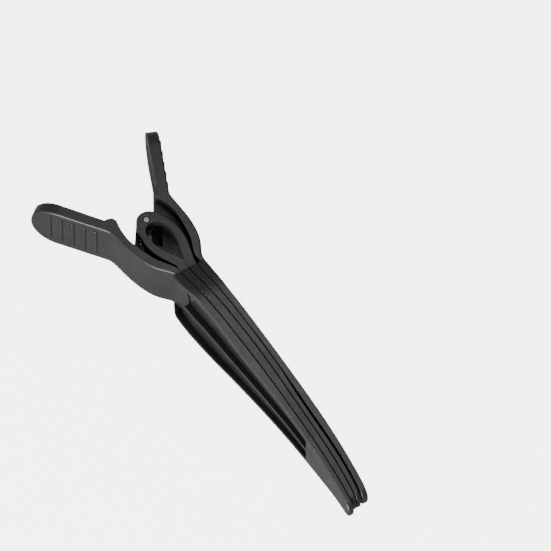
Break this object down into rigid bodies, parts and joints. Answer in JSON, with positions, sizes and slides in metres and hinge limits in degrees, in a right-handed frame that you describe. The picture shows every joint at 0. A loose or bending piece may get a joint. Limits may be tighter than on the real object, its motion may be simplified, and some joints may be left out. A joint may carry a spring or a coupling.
{
  "type": "sectioning hair clip",
  "caption": "Salon sectioning clip: two long fluted jaws with ribbed levers, a flexible inner gripping band, a hinge pin and a torsion spring.",
  "frame": {"origin": "bottom centre of the clip's box, lying on its side with the jaws closed", "axes": "+X along the jaws towards the tips, +Y the side the rear jaw opens to, +Z along the hinge pin"},
  "size_m": [0.1202, 0.0398, 0.0208],
  "materials": {
    "jaw_plastic": "fine satin grain, black",
    "band_plastic": "smooth flexible plastic, black",
    "pin_steel": "turned and polished ends",
    "spring_steel": "bright drawn spring wire"
  },
  "bodies": {
    "front_jaw": {"front_jaw": "jaw_plastic", "band_front_strip": "band_plastic", "band_hinge_eye": "band_plastic", "hinge_pin": "pin_steel", "torsion_spring": "spring_steel"},
    "rear_jaw": {"rear_jaw": "jaw_plastic", "band_rear_strip": "band_plastic"}
  },
  "joints": [
    {"name": "jaw_hinge", "type": "hinge", "parent": "front_jaw", "child": "rear_jaw", "pos_m": [-0.03592, 0.00199, 0.0104], "axis": [0, 0, 1], "range_deg": [0, 45], "stiffness_Nm_per_rad": 0.038, "springref_deg": -60.16, "deforming": ["band_hinge_eye", "torsion_spring"]}
  ]
}
